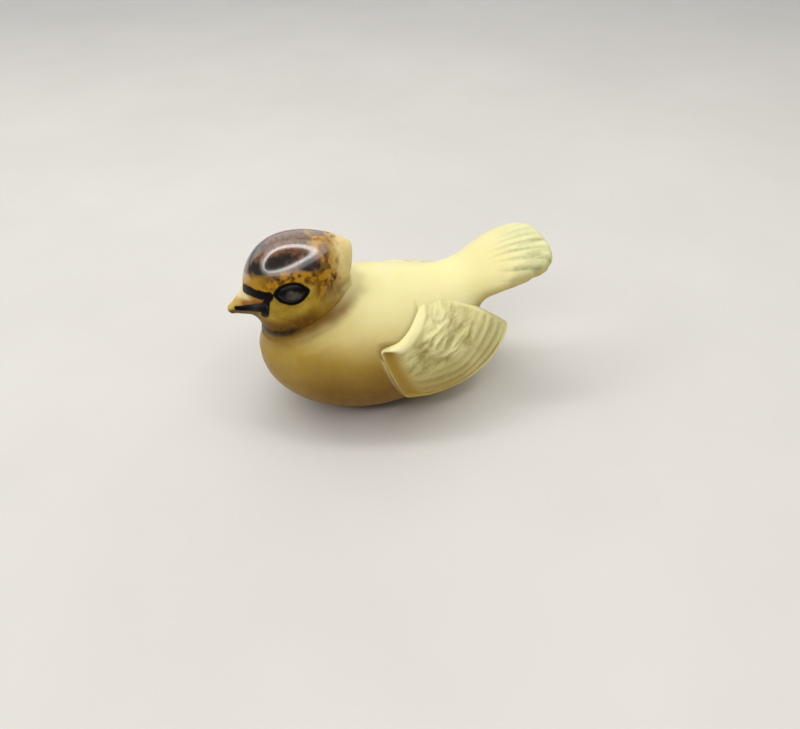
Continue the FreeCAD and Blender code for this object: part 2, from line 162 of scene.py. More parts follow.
EGG = ((0.0, 0.0, 9.8), (12.6, 16.3, 10.3))
RUMP_CENTRE = (0.0, 9.0, 12.0)
RUMP_RADII = (6.6, 9.0, 4.6)
RUMP_TILT = 0.36
TAIL_ROOT_Y = 8.0
TAIL_SPREAD = 20.0
TAIL_HALF_WIDTHS = (3.8, 8.0)
TAIL_HALF_HEIGHTS = (3.8, 1.30)
TAIL_ROUND_Y = 22.0
TAIL_ROUND = 6.55
FEATHER_ANGLE = 0.112
FEATHER_GROOVE = 0.11
FEATHER_CROWN = 0.03

# Hidden in the head, the trunk keeps a thin gap to it and stops a little way over the egg.
NECK_GAP = 0.08
NECK_TOP = 1.3

# Height, distance from the head and half width of each soft ring round the neck.
NECK_RINGS = ((0.12, 1.9, 0.50), (0.10, 4.3, 0.90))

FLANK_X = 6.0
BORE_RADIUS = 2.85
BORE_DEPTH = 7.4


def egg(p):
    return ellipsoid(p, *EGG)


def tail_parts(p):
    """Grooves and feathers on the tail, from 0 to 1: they fade in along it, less on the right."""
    x, y = p[..., 0], p[..., 1]
    along = np.maximum(y - TAIL_ROOT_Y, 0.1)
    wander = 0.35 * noise(p * np.array([1.0, 0.3, 1.0]), 2.0, 3)
    turn = np.arctan2(x + wander, along) / FEATHER_ANGLE
    number = np.round(turn)
    start = 18.2 + 3.5 * lattice(number.astype(int), 0 * number.astype(int), 3, 8)
    fade = smooth01((y - start) / 5.0) * smooth01((29.2 - y) / 2.4)
    fade = fade * blend(0.45, 1.0, smooth01((x + 4.0) / 6.0))
    return smooth01((np.abs(turn - number) - 0.14) / 0.36) * fade, fade


def tail_middle(y):
    """Height of the tail's middle line: it climbs from the rump and levels off at the end."""
    t = np.clip((y - 6.0) / 23.0, 0.0, 1.0)
    return 11.31 + 12.24 * t + 4.14 * t * t - 6.78 * t ** 3


def tail(p):
    """The raised fan tail: an oval section that grows wide and flat, with a rounded end."""
    x, y, z = p[..., 0], p[..., 1], p[..., 2]
    run = (y - TAIL_ROOT_Y) / TAIL_SPREAD
    half_width = blend(*TAIL_HALF_WIDTHS, smooth01(run * 1.15))
    half_height = blend(*TAIL_HALF_HEIGHTS, np.clip(run, 0, 1) ** 1.25)
    section = np.sqrt((x / half_width) ** 2 + ((z - tail_middle(y)) / half_height) ** 2)
    end = (np.maximum(y - TAIL_ROUND_Y, 0.0) ** 3 + np.abs(0.84 * x) ** 3) ** (1 / 3) - TAIL_ROUND
    blade = soft_common((section - 1.0) * half_height, end, 1.0)
    return soft_common(blade, TAIL_ROOT_Y - y, 1.0)


def neck_ring(p, distance, half_width):
    """1 on a soft ring round the front of the neck, at some distance from the head."""
    front = smooth01((-3.0 - p[..., 1]) / 5.0)
    return bump_at(head_form(p), distance, half_width) * front


def trunk(p):
    """Egg, rump and tail as one smooth form on a flat seat, without fine carving."""
    rump = ellipsoid(tilted(p, RUMP_CENTRE, RUMP_TILT), (0.0, 0.0, 0.0), RUMP_RADII)
    form = soft_union(egg(p), rump, 5.0)
    form = soft_union(form, tail(p), 3.0)
    return soft_common(form, -p[..., 2], 0.25)


def lip_line(front, z):
    """1 along the raised lip just before a wing's front edge, below the wing's bend."""
    return bump_at(front, -0.15, 0.50) * smooth01((13.6 - z) / 1.0)


def flank_cut(p):
    """Depth cut from the flanks: the gutter under each wing's front edge, less the lip by it."""
    z = p[..., 2]
    _, _, lower, front = wing_edges(p[..., 1], z)
    lip = lip_line(front, z) * smooth01((z - 5.0) / 1.5)
    under = gutter(front) * smooth01((15.4 - z) / 1.0) * smooth01((lower + 0.1) / 1.0)
    return (0.50 * under - 0.26 * lip) * (np.abs(p[..., 0]) > FLANK_X)


def trunk_carved(p):
    """The trunk with tail grooves, neck, breast folds, flank carving and the insert's bore."""
    valley, fade = tail_parts(p)
    form = trunk(p) + FEATHER_GROOVE * valley - FEATHER_CROWN * fade
    neck = soft_union(form, head_form(p) + NECK_GAP, neck_flare(p))
    form = np.minimum(form, np.maximum(neck, egg(p) - NECK_TOP))
    for height, distance, half_width in NECK_RINGS:
        form = form - height * neck_ring(p, distance, half_width)
    form = form + flank_cut(p)
    bore = np.maximum(np.hypot(p[..., 0], p[..., 1]) - BORE_RADIUS, p[..., 2] - BORE_DEPTH)
    return np.maximum(form, -bore)


# ---------------------------------------------------------------- head

SKULL = ((0.0, -9.6, 20.8), (6.7, 7.4, 7.6))
CROWN = ((0.0, -6.6, 24.2), (4.4, 5.2, 3.7))
NAPE_CREST = ((0.0, -5.5, 23.0), (3.3, 6.2, 4.4))
CREST_TIP = (-0.8, 25.6)
CREST_BACK = (0.96, -0.28)
BILL_ROOT = (0.0, -15.2, 19.3)
BILL_END = (0.0, -18.95, 18.05)
BILL_RADII = (2.9, 0.80)
MASK_PATH = [(1.2, -16.75, 21.9), (2.9, -16.05, 22.25), (4.5, -14.75, 22.5),
             (5.5, -13.5, 22.45)]
BILL_SIDE_PATH = [(5.4, -13.7, 22.2), (5.32, -13.97, 21.4), (5.16, -14.26, 20.0),
                  (4.5, -14.7, 18.9)]
MOUTH_PATH = [(1.0, -18.5, 18.6), (1.7, -17.3, 18.8), (2.5, -16.4, 19.2), (3.95, -15.5, 20.0),
              (5.0, -14.5, 20.5)]
CHEEK_FOLD = [(3.9, -15.0, 18.1), (5.35, -13.8, 19.1), (6.1, -11.9, 18.7), (6.2, -8.8, 18.0),
              (6.4, -6.4, 17.7)]
EYE_CENTRE = (-10.4, 22.85)
EYE_HALF = (1.95, 1.22)
LINER_HALF = (2.60, 1.62)
MOUTH_DEPTH = 0.42
CHEEK_FOLD_DEPTH = 0.14
SOCKET_DEPTH = 0.07
EYE_DOME = 0.24


def head_form(p):
    """Skull, crown, crest and bill, without fine carving."""
    y, z = p[..., 1], p[..., 2]
    back = (y - CREST_TIP[0]) * CREST_BACK[0] + (z - CREST_TIP[1]) * CREST_BACK[1]
    crest = soft_common(ellipsoid(p, *NAPE_CREST), back, 0.5)
    form = soft_union(ellipsoid(p, *SKULL), ellipsoid(p, *CROWN), 1.5)
    form = soft_union(form, crest, 1.0)
    return soft_union(form, taper(p, BILL_ROOT, BILL_END, *BILL_RADII), 0.8)


def almond(p, half):
    """1 on the outline of the eye's almond and less inside it; half is its half length and height."""
    along = p[..., 1] - EYE_CENTRE[0]
    y = np.abs(along) / half[0]
    z = np.abs(p[..., 2] - EYE_CENTRE[1] - 0.04 * along) / half[1]
    return 0.62 * np.hypot(y, z) + 0.38 * (y * y + z)


def nape_share(p):
    """0 at the bill and cheeks, 1 at the nape."""
    return smooth01((p[..., 1] + 9.0) / 6.0)


def neck_flare(p):
    """How widely the head runs out onto the trunk: more at the chin, less at the nape."""
    return blend(3.3, 2.3, nape_share(p))


def seam_level(p):
    """Height over the egg at which the head ends: more at the chin, less at the nape."""
    return blend(0.85, 0.55, nape_share(p))


def head_carved(p):
    """The head with its neck, mouth line, cheek fold and eye sockets."""
    y = p[..., 1]
    form = soft_union(trunk(p), head_form(p), neck_flare(p))
    mouth_width = 0.18 + 0.06 * (y + 19.5)
    form = form + MOUTH_DEPTH * np.exp(-(near_path(p, MOUTH_PATH) / mouth_width) ** 2)
    fold = np.exp(-(near_path(p, CHEEK_FOLD) / 0.30) ** 2) * smooth01((-5.0 - y) / 4.0)
    form = form + CHEEK_FOLD_DEPTH * fold
    side = np.abs(p[..., 0]) > 3.0
    form = form + SOCKET_DEPTH * side * bump_at(almond(p, EYE_HALF), 1.03, 0.14)
    return soft_common(form, seam_level(p) - egg(p), 0.04)


def eye(p):
    """One glossy bead that follows the cheek and domes a little out of it."""
    e = almond(p, EYE_HALF)
    skin = head_form(p)
    dome = skin - EYE_DOME * np.clip(1.0 - e * e, -0.3, 1.0) + 0.02
    return np.maximum(soft_common(dome, (e - 1.0) * 0.9, 0.12), -1.0 - skin)


# ---------------------------------------------------------------- wings

BEND = (0.4, 14.2)
SHOULDER = (7.5, 18.1)
TIP = (20.9, 11.9)
HEEL = (3.4, 6.4)
WING_OUTSIDE = ((0.0, 3.5, 9.2), (13.7, 21.2, 10.1))
WING_INSIDE = ((0.0, 3.4, 9.2), (12.0, 20.4, 9.5))
GUTTER_WIDTH = 3.3
COVE_DEPTH = 0.80
RIDGE_HEIGHT = 0.34
PANEL_DEPTH = 0.20
SHOULDER_DROP = 0.42
QUILL_PITCH = 1.4
QUILL_DEPTH = 0.19
STROKE_RISE = 0.46


def gutter(front):
    """1 in the hollow that runs down behind the wing's front edge."""
    return smooth01((GUTTER_WIDTH - front) / 2.3) * smooth01((front + 0.35) / 0.9)


def strokes(y, z, size, seed):
    """Ragged carver's strokes that rise towards the tail, from -1 to 1."""
    along = y * np.cos(STROKE_RISE) + z * np.sin(STROKE_RISE)
    across = z * np.cos(STROKE_RISE) - y * np.sin(STROKE_RISE)
    flat = np.stack([0.38 * along, across, 0.0 * along], -1)
    return mottle(flat + 0.5 * noise(flat, 1.7 * size, seed + 1)[..., None], size, seed, 2)


def wing_edges(y, z):
    """How far a point lies inside the leading, upper, lower and front edges, each an arc."""
    lead = -arc_side(y, z, BEND, SHOULDER, -0.8)
    upper = -arc_side(y, z, SHOULDER, TIP, 1.4)
    lower = -arc_side(y, z, TIP, HEEL, 2.6)
    front = -arc_side(y, z, HEEL, BEND, 0.2)
    return lead, upper, lower, front


def long_quills(p, lower):
    """Wave, fine hairs and strength of the long feathers, and how far p is above their border."""
    y, z = p[..., 1], p[..., 2]
    quills = lower + 0.30 * noise(p, 4.0, 31)
    border = quills - 4.9 - 0.10 * (y - 8.0) + 0.9 * noise(p, 2.0, 32)
    wave = 0.5 + 0.5 * np.cos(2.0 * np.pi * (quills / QUILL_PITCH - 0.25))
    hairs = noise(np.stack([quills * 5.0, y * 0.5, z * 0.5], -1), 1.0, 33)
    strength = blend(1.0, 0.55, smooth01((quills - 2.5) / 3.0))
    return wave, hairs, strength, border


def wing_relief(p):
    """Height of the carving over the wing's plain surface, its wash, its cove and its ridge."""
    y, z = p[..., 1], p[..., 2]
    lead, upper, lower, front = wing_edges(y, z)
    wave, hairs, strength, border = long_quills(p, lower)
    coarse, fine = strokes(y, z, 0.85, 34), strokes(y, z, 0.45, 36)
    long_zone = smooth01((0.8 - border) / 1.6) * smooth01((front - 1.6) / 1.2)
    short_zone = smooth01((border + 0.6) / 1.4)
    tail_end = smooth01((17.5 - y) / 4.0)

    ragged = (0.16 * coarse + 0.08 * fine) * tail_end * smooth01((upper + 0.2) / 2.2)
    carving = long_zone * (strength * (0.04 - QUILL_DEPTH * wave) + 0.03 * hairs)
    carving = carving + (short_zone + 0.35 * long_zone) * ragged
    ridge = bump_at(lead, 0.48, 0.88) * blend(1.0, 0.10, smooth01((y - 1.5) / 5.0))
    panel = smooth01((lead - 0.70) / 0.8) * smooth01((upper + 0.10) / 0.7)
    panel = panel * smooth01((lower - 0.20) / 0.4)
    cove = gutter(front) * smooth01((14.6 - z) / 0.9) * smooth01((lower + 0.1) / 1.0)
    height = RIDGE_HEIGHT * ridge + panel * (carving - PANEL_DEPTH)
    height = height - SHOULDER_DROP * smooth01((z - 16.0) / 2.2)
    height = height * (1.0 - cove) - COVE_DEPTH * cove

    wash = 0.34 + 0.34 * wave * strength + 0.08 * hairs
    wash = long_zone * wash * smooth01((21.5 - y) / 4.0)
    wash = wash + short_zone * (0.54 - 0.50 * coarse - 0.30 * fine) * tail_end
    wash = np.clip(wash * panel, 0, 1) * (1.0 - cove)
    return height, wash, cove, np.clip(ridge, 0, 1)


def wing(p):
    """The left wing: a carved shell between two ellipsoids, cut to the wing's outline."""
    y, z = p[..., 1], p[..., 2]
    lead, upper, lower, front = wing_edges(y, z)
    outline = -lead
    for edge in (upper, lower, front):
        outline = soft_common(outline, -edge, 0.4)
    shell = ellipsoid(p, *WING_OUTSIDE) - wing_relief(p)[0]
    solid = soft_common(shell, outline, 0.40)
    inside = ellipsoid(p, *WING_INSIDE) - 0.35 * smooth01((y - 12.0) / 5.0)
    solid = soft_common(solid, -inside, 0.3)
    return np.maximum(solid, 2.0 - p[..., 0])


# ---------------------------------------------------------------- meshing

# A block counts as near the surface within NEAR_BLOCKS of its own size, which leaves room
# for fields that are only near enough a distance. CHUNK blocks are worked out at a time.
BLOCK = 8
NEAR_BLOCKS = 1.35
CHUNK = 1500
NEWTON_STEPS = 2


def sample(field, low, high, cell):
    """The field on a grid, worked out only in the blocks that its surface may cross."""
    low = np.array(low, float)
    blocks = np.ceil((np.array(high) - low) / (cell * BLOCK)).astype(int)
    axes = [low[i] + (np.arange(blocks[i]) + 0.5) * BLOCK * cell for i in range(3)]
    middles = np.stack(np.meshgrid(*axes, indexing="ij"), -1)
    coarse = field(middles)
    values = np.repeat(np.repeat(np.repeat(coarse, BLOCK, 0), BLOCK, 1), BLOCK, 2)
    values = values.astype(np.float32)
    near = np.argwhere(np.abs(coarse) < NEAR_BLOCKS * BLOCK * cell)
    steps = np.arange(BLOCK)
    local = np.stack(np.meshgrid(steps, steps, steps, indexing="ij"), -1)
    for chunk in np.array_split(near, max(1, len(near) // CHUNK)):
        index = chunk[:, None, None, None, :] * BLOCK + local
        found = field(low + index * cell)
        values[index[..., 0], index[..., 1], index[..., 2]] = found
    return low, values


def gradient(field, p, step=0.04):
    """The field's slope at each point."""
    slopes = np.zeros_like(p)
    for axis in range(3):
        shift = np.zeros(3)
        shift[axis] = step
        slopes[:, axis] = (field(p + shift) - field(p - shift)) / (2 * step)
    return slopes


def polygonise(field, low, high, cell):
    """Vertices in millimetres and outward quads of the field's zero surface."""
    low, values = sample(field, low, high, cell)
    grid = openvdb.FloatGrid(float(cell * 4))
    grid.copyFromArray(np.clip(values, -cell * 4, cell * 4))
    points, quads = grid.convertToQuads(0.0)
    points = low + np.array(points, float) * cell
    for _ in range(NEWTON_STEPS):
        slope = gradient(field, points)
        size = np.maximum((slope * slope).sum(-1), 0.25)
        push = (field(points) / size)[:, None] * slope
        points = points - np.clip(push, -cell * 0.5, cell * 0.5)
    corners = points[quads[:, :3].astype(int)]
    volume = np.einsum("ij,ij->i", corners[:, 0], np.cross(corners[:, 1], corners[:, 2])).sum()
    if volume < 0:
        quads = quads[:, ::-1]
    return points, quads.astype(int)


def placed(name, data):
    """A new object in the scene."""
    thing = bpy.data.objects.new(name, data)
    bpy.context.scene.collection.objects.link(thing)
    return thing


def make_piece(name, points, quads, masks, material, node):
    """A mesh object with one float attribute per mask, in place of a CAD node."""
    mesh = bpy.data.meshes.new(name)
    mesh.vertices.add(len(points))
    mesh.vertices.foreach_set("co", (points * MM).astype(np.float32).ravel())
    mesh.loops.add(quads.size)
    mesh.loops.foreach_set("vertex_index", quads.astype(np.int32).ravel())
    mesh.polygons.add(len(quads))
    mesh.polygons.foreach_set("loop_start", np.arange(0, quads.size, 4, dtype=np.int32))
    mesh.update(calc_edges=True)
    mesh.validate()
    mesh.shade_smooth()
    for key, values in masks.items():
        layer = mesh.attributes.new(key, "FLOAT", "POINT")
        layer.data.foreach_set("value", np.clip(values, 0, 1).astype(np.float32))
    mesh.materials.append(material)
    piece = placed(name, mesh)
    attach(piece, "root")
    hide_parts(node)


def make_pair(name, points, quads, masks, material, kind):
    """A left piece and its mirror image, in place of the CAD's left and right nodes of a kind."""
    mirrored = points * np.array([-1.0, 1.0, 1.0])
    for side, places, faces in (("left", points, quads), ("right", mirrored, quads[:, ::-1])):
        make_piece(f"{name}_{side}", places, faces, masks, material, f"{kind}_{side}")


# ---------------------------------------------------------------- masks

CAP_EDGE_Y = (-16.5, -15.0, -12.0, -9.0, -7.0)
CAP_EDGE_Z = (23.3, 24.3, 24.9, 25.2, 24.9)


def above_cap_edge(y, z):
    """Height over the dark cap's lower edge, which climbs from the bill to the temple."""
    return z - np.interp(y, CAP_EDGE_Y, CAP_EDGE_Z)


def seam_height(p):
    """Brown glaze gathers low on the neck and is gone from the top of the nape."""
    return smooth01((20.9 - p[..., 2]) / 2.6)


def crown_masks(p, wide, fine):
    """The dark cap with its rust, the amber brow and back, the pale crest, the nape, the gloss."""
    x, y, z = np.abs(p[..., 0]), p[..., 1], p[..., 2]
    over = above_cap_edge(y, z)
    cap = smooth01((over + 0.40 * wide + 0.15 * fine) / 0.6)
    cap = cap * smooth01((-5.7 - y + 1.1 * wide + 0.7 * fine) / 1.3)
    brow = smooth01((over + 1.9 + 0.3 * wide) / 1.0) * (1.0 - cap) * smooth01((-5.5 - y) / 1.5)
    back = smooth01((z - 21.0 + 1.0 * wide) / 1.6) * smooth01((-2.4 - y + 1.5 * wide) / 2.6)
    back = back * smooth01((y + 7.6) / 1.4) * (1.0 - cap)
    rust = mottle(p, 1.9, 44) + 0.12 * (y + 10.5) + 1.0 * smooth01((4.2 - x) / 2.6)
    spots = smooth01((fine + 0.42) / 0.5)
    loops = smooth01((0.30 - np.abs(mottle(p, 1.6, 43, 2))) / 0.2)
    nape = bump_at(np.hypot(y + 4.6, z - 20.9), 0.0, 2.7)
    return {
        "cap": cap,
        "rust": smooth01(rust / 0.5),
        "brow": np.maximum(brow, 0.95 * back),
        "speckle": np.maximum(brow * smooth01((y + 16.0) / 4.0), back) * spots,
        "crest": smooth01((y + 5.4 + 0.8 * wide) / 2.6) * smooth01((z - 20.6) / 1.8),
        "nape": nape * (0.60 + 0.40 * loops),
        "gloss": smooth01((over + 0.6) / 1.0) * blend(1.0, 0.4, smooth01((y + 5.5) / 2.5)),
    }


def ink_mask(p, fine):
    """The black mask before the eye, the stripe down the bill's side, the mouth and eye liner."""
    mask = smooth01((0.82 - near_path(p, MASK_PATH) + 0.16 * fine) / 0.18)
    stripe = smooth01((0.62 - near_path(p, BILL_SIDE_PATH) + 0.12 * fine) / 0.18)
    mouth_half = 0.36 + 0.12 * (p[..., 1] + 19.0)
    mouth = smooth01((mouth_half - near_path(p, MOUTH_PATH)) / 0.16)
    liner = smooth01((1.03 - almond(p, LINER_HALF) + 0.04 * fine) / 0.10)
    liner = liner * (np.abs(p[..., 0]) > 3.0)
    return np.maximum(np.maximum(mask, stripe), np.maximum(mouth, liner))


def bill_masks(p):
    """Horn colour of the bill, its pale top, the brick line over the mouth and the dark jaw."""
    y, z = p[..., 1], p[..., 2]
    over_mouth = near_path(p - np.array([0.0, 0.0, 0.85]), MOUTH_PATH)
    return {
        "bill": smooth01((-15.6 - y) / 1.0),
        "bill_top": smooth01((-16.0 - y) / 0.8) * smooth01((z - 19.3 - 0.40 * (y + 19.2)) / 0.5),
        "brick": smooth01((0.60 - over_mouth) / 0.4) * smooth01((y + 18.0) / 0.8),
        "jaw": smooth01((-15.0 - y) / 0.8) * smooth01((18.5 - z + 0.25 * (y + 19.2)) / 0.4),
    }


def neck_masks(p, wide, fine):
    """Glaze that gathers where the head meets the trunk, by height over the egg."""
    y, z = p[..., 1], p[..., 2]
    above = np.clip(egg(p), 0, None)
    halo_height = 3.9 + 1.1 * smooth01((y + 10.0) / 3.0)
    halo = smooth01((halo_height - above + 0.5 * wide) / 2.6)
    return {
        "chin": smooth01((3.0 - above) / 1.8) * smooth01((-5.5 - y) / 4.0),
        "under": smooth01((1.5 - above + 0.2 * fine) / 0.5) * smooth01((-8.5 - y) / 3.0),
        "halo": halo * seam_height(p),
        "lemon": smooth01((2.0 - above) / 1.6) * smooth01((z - 19.5) / 1.5),
    }


def head_masks(p):
    """Every mask of the head; ink covers the gloss."""
    wide = mottle(p, 2.2, 41)
    fine = mottle(p, 1.0, 42)
    masks = {**crown_masks(p, wide, fine), **bill_masks(p), **neck_masks(p, wide, fine)}
    masks["ink"] = ink_mask(p, fine)
    masks["gloss"] = masks["gloss"] * (1.0 - masks["ink"])
    return masks


def trunk_masks(p):
    """Glaze by the neck; painted shade on sides facing down or forward and under the tail; amber low
    on the sides, partly glaze and partly painted shade; wash in the tail; painted shade in the
    creases round the wings; a painted highlight along the lip.
    """
    x, y, z = np.abs(p[..., 0]), p[..., 1], p[..., 2]
    wide = mottle(p, 3.5, 51)
    from_head = head_form(p)
    facing = gradient(trunk, p)
    top = smooth01((facing[:, 2] + 0.2) / 0.5)

    lead, upper, lower, front = wing_edges(y, z)
    outside = np.maximum(np.maximum(-lead, -upper), np.maximum(-lower, -front))
    # Painted shade in the creases just outside the wings' edges, towards the front.
    crease_shade = np.exp(-(np.clip(outside, 0, None) / 0.40) ** 2) * (x > 4.0) * (y < 7.0)
    # Along the lip the material paints a pale line, a painted highlight.
    lip = lip_line(front, z) * (x > FLANK_X)

    # Painted shade: golden where the surface faces down or forward, away from the overhead light, and
    # under the tail; a little more towards the tail end.
    shade = 1.18 - 1.0 * facing[:, 2] - 0.50 * facing[:, 1] + 0.03 * wide
    gold_shade = smooth01(shade) * smooth01((15.0 - y) / 8.0)
    gold_shade = gold_shade + 0.4 * (1.0 - top) * smooth01((y - 10.0) / 4.0)
    # Amber low on the sides and breast: partly glaze, partly painted shade; it also carries the
    # painted shade of the creases.
    amber = smooth01((17.0 - z + 0.5 * wide) / 9.5) * smooth01((14.0 - y) / 12.0)
    amber = amber * (1.0 - 0.45 * smooth01((-facing[:, 1] - 0.35) / 0.4))

    valley, fade = tail_parts(p)
    along = smooth01((mottle(p * np.array([1.0, 0.22, 1.0]), 1.0, 52) + 0.2) / 0.7)
    streak = np.clip(0.55 * valley + 0.45 * fade * along, 0, 1)
    left_share = smooth01((p[..., 0] + 3.0) / 6.0)
    return {
        "chin": smooth01((1.35 - from_head + 0.15 * wide) / 0.5) * smooth01((-8.5 - y) / 3.0),
        "halo": smooth01((3.3 - from_head + 0.4 * wide) / 2.4) * seam_height(p),
        "gold_shade": np.clip(gold_shade + 0.18 * smooth01((y - 12.0) / 6.0), 0, 1),
        "amber": np.clip(amber + 0.4 * crease_shade * (1.0 - lip), 0, 1),
        "lip": lip,
        "streak": streak * top * (0.6 + 0.4 * left_share),
        "tip": smooth01((y - 20.0) / 5.0) * top,
    }


def wing_masks(p):
    """Wash in the feathers, painted shade in the cove, a painted highlight along the ridge and
    painted shade low on the wing.
    """
    _, wash, cove, ridge = wing_relief(p)
    patch = smooth01((mottle(p, 2.4, 61) + 0.8) / 1.1)
    towards_tip = smooth01((p[..., 1] - 9.0) / 9.0)
    return {
        "wash": wash * (0.60 + 0.40 * patch),
        # Painted shade in the cove under the wing's front edge.
        "cove": cove,
        # Painted highlight along the ridge.
        "pale": ridge * (1.0 - cove),
        # Painted shade: darker towards the bottom of the wing, less so at its tip.
        "low": smooth01((15.0 - p[..., 2]) / 9.5) * blend(1.0, 0.4, towards_tip),
    }


def eye_masks(p):
    """A painted reflection: a paler oval a little behind the middle of the bead."""
    y, z = p[..., 1] - EYE_CENTRE[0] - 0.25, p[..., 2] - EYE_CENTRE[1] + 0.10
    # Painted reflection of the room in the glossy bead.
    return {"grey_reflection": smooth01((1.20 - np.hypot(y / 1.15, z / 0.74)) / 0.6)}


# ---------------------------------------------------------------- materials

def colour(red, green, blue):
    """Linear colour from the usual 0 to 255 values."""
    parts = [c / 255.0 for c in (red, green, blue)]
    return tuple(c / 12.92 if c <= 0.04045 else ((c + 0.055) / 1.055) ** 2.4 for c in parts) + (1.0,)


LEMON = colour(232, 226, 164)
# Painted shade on the trunk and on the wings.
GOLD_SHADE = colour(184, 152, 60)
# Amber glaze round the neck, and painted shade low on the trunk and in the wings' coves.
AMBER_GLAZE_AND_SHADE = colour(122, 84, 10)
CREAM = colour(240, 228, 182)
CREST = colour(238, 216, 150)
CHEEK = colour(154, 122, 32)
CHEEK_PALE = colour(200, 168, 66)
AMBER = colour(184, 130, 24)
HORN = colour(208, 176, 96)
BRICK = colour(150, 72, 30)
RUST = colour(122, 78, 42)
TORTOISE = colour(30, 20, 16)
INK = colour(7, 5, 4)
BROWN = colour(74, 42, 18)
SEPIA = colour(40, 20, 6)
NAPE = colour(134, 104, 72)
OLIVE = colour(138, 122, 52)
SAGE = colour(138, 140, 98)
MINT = colour(224, 228, 178)
EYE_DARK = colour(26, 22, 18)
# Grey of the painted reflection in the eyes.
REFLECTION_GREY = colour(92, 84, 72)
BRASS = (colour(214, 176, 96), colour(160, 120, 56))
STEEL = (colour(190, 190, 192), colour(130, 130, 134))
FLOOR_PALE = colour(212, 209, 204)
FLOOR_SHADE = colour(205, 202, 197)


class Graph:
    """A material's node tree with short ways to add what the pieces need."""

    def __init__(self, name):
        self.material = bpy.data.materials.new(name)
        self.material.use_nodes = True
        self.tree = self.material.node_tree
        self.shader = self.tree.nodes["Principled BSDF"]
        self.coords = self.add("ShaderNodeTexCoord").outputs["Object"]

    def add(self, kind, **settings):
        node = self.tree.nodes.new(kind)
        for key, value in settings.items():
            setattr(node, key, value)
        return node

    def put(self, socket, value):
        """Link another socket to this one, or give it a plain value."""
        if isinstance(value, bpy.types.NodeSocket):
            self.tree.links.new(value, socket)
        else:
            socket.default_value = value

    def mask(self, name, share=1.0):
        """One of the mesh's masks, times a share."""
        node = self.add("ShaderNodeAttribute", attribute_name=name)
        return node.outputs["Fac"] if share == 1.0 else self.times(node.outputs["Fac"], share)

    def noise(self, size_mm, detail=3.0, roughness=0.6, stretch=(1, 1, 1)):
        """Noise with features of about the given size, fixed to the object."""
        mapping = self.add("ShaderNodeMapping")
        self.put(mapping.inputs["Vector"], self.coords)
        mapping.inputs["Scale"].default_value = stretch
        node = self.add("ShaderNodeTexNoise")
        self.put(node.inputs["Vector"], mapping.outputs["Vector"])
        node.inputs["Scale"].default_value = 1.0 / (size_mm * MM)
        node.inputs["Detail"].default_value = detail
        node.inputs["Roughness"].default_value = roughness
        return node.outputs["Fac"]

    def times(self, a, b):
        node = self.add("ShaderNodeMath", operation="MULTIPLY")
        self.put(node.inputs[0], a)
        self.put(node.inputs[1], b)
        return node.outputs[0]

    def span(self, value, low, high, to_low=0.0, to_high=1.0):
        """The stretch of value from low to high, mapped to a new range and clamped."""
        node = self.add("ShaderNodeMapRange")
        self.put(node.inputs["Value"], value)
        for key, number in (("From Min", low), ("From Max", high),
                            ("To Min", to_low), ("To Max", to_high)):
            node.inputs[key].default_value = number
        return node.outputs["Result"]

    def over(self, base, paint, amount):
        """Paint laid over base by amount."""
        node = self.add("ShaderNodeMix", data_type="RGBA")
        self.put(node.inputs["Factor"], amount)
        self.put(node.inputs["A"], base)
        self.put(node.inputs["B"], paint)
        return node.outputs["Result"]

    def broken(self, name, size_mm, low=0.3, high=0.7, floor=0.35):
        """A mask broken up by noise, never below floor of itself."""
        return self.times(self.mask(name), self.span(self.noise(size_mm), low, high, floor, 1.0))

    def bump(self, height, depth_mm):
        """Fine surface relief from a height between 0 and 1."""
        node = self.add("ShaderNodeBump")
        node.inputs["Strength"].default_value = 1.0
        node.inputs["Distance"].default_value = depth_mm * MM
        self.put(node.inputs["Height"], height)
        self.put(self.shader.inputs["Normal"], node.outputs["Normal"])

    def finish(self, base, **values):
        """The material, once the shader has its colour and its other values."""
        self.put(self.shader.inputs["Base Color"], base)
        for key, value in values.items():
            self.put(self.shader.inputs[key.replace("_", " ")], value)
        return self.material


def resin(g, weight, depth_mm):
    """The slight milkiness of cast resin or bone."""
    g.shader.inputs["Subsurface Weight"].default_value = weight
    g.shader.inputs["Subsurface Radius"].default_value = (1.0, 0.75, 0.30)
    g.shader.inputs["Subsurface Scale"].default_value = depth_mm * MM


def trunk_material():
    """Satin lemon resin with painted shade low down and under the tail, amber low down that is partly
    glaze and partly painted shade, a painted highlight on the lip, and mint at the tail's end.
    """
    g = Graph("lemon_resin")
    base = g.over(LEMON, CREAM, g.span(g.noise(5.0), 0.35, 0.75, 0.0, 0.5))
    base = g.over(base, MINT, g.mask("tip", 0.8))
    # Painted shade on surfaces facing down or forward and under the tail.
    base = g.over(base, GOLD_SHADE, g.broken("gold_shade", 3.0, floor=0.90))
    # Amber low down, partly glaze and partly painted shade, with painted shade in the creases by the
    # wings.
    base = g.over(base, AMBER_GLAZE_AND_SHADE, g.broken("amber", 2.0, floor=0.85))
    base = g.over(base, SAGE, g.broken("streak", 0.6, floor=0.5))
    # Painted highlight: a pale line along the raised lip.
    base = g.over(base, CREAM, g.mask("lip", 0.3))
    base = g.over(base, AMBER_GLAZE_AND_SHADE, g.mask("halo", 0.95))
    base = g.over(base, SEPIA, g.broken("chin", 0.8, floor=0.7))
    resin(g, 0.22, 1.2)
    rough = g.span(g.noise(1.2), 0.3, 0.7, 0.36, 0.48)
    g.bump(g.noise(0.5, 4.0), 0.010)
    return g.finish(base, Roughness=rough, Specular_IOR_Level=0.15, Coat_Weight=0.08,
                    Coat_Roughness=0.25)


